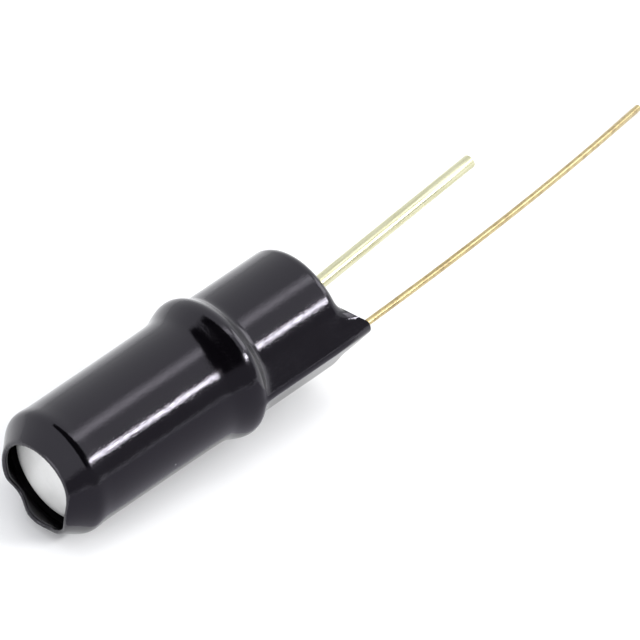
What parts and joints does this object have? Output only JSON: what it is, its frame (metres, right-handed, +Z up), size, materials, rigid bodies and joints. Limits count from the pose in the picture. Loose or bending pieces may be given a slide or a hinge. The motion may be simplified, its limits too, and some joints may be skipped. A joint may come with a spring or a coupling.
{
  "type": "tilt sensor",
  "caption": "Ball tilt sensor: a flanged round can in a black heat-shrunk sleeve, with a thick centre pin and a thin case lead that two rolling balls join.",
  "frame": {"origin": "on the floor, under the middle of the sensor and its leads as it lies on its side", "axes": "+X towards the free ends of the leads, +Z up, case lead on the -Y side"},
  "size_m": [0.0358, 0.0062, 0.0062],
  "materials": {
    "sleeve": "glossy black heat-shrunk tube",
    "nickel": "satin nickel plate",
    "header_brass": "drawn brass",
    "phenolic": "moulded dark brown",
    "pin_plate": "pale bright plate",
    "wire_plate": "drawn wire, slightly rough",
    "ball_plate": "bright plated steel ball"
  },
  "bodies": {
    "housing": {"heat_shrink_sleeve": "sleeve", "can": "nickel", "header_shell": "header_brass", "insulator": "phenolic", "centre_pin": "pin_plate", "case_lead": "wire_plate"},
    "contact_ball": {"contact_ball": "ball_plate"},
    "weight_ball": {"weight_ball": "ball_plate"}
  },
  "joints": [
    {"name": "contact_ball_roll", "type": "slide", "parent": "housing", "child": "contact_ball", "axis": [0.9992, 0, 0.0407], "range_m": [0, 0.0013]},
    {"name": "weight_ball_roll", "type": "slide", "parent": "housing", "child": "weight_ball", "axis": [0.9992, 0, 0.0407], "range_m": [0, 0.0013]}
  ],
  "couplings": [
    {"joint": "weight_ball_roll", "follows": "contact_ball_roll", "ratio": 1}
  ]
}
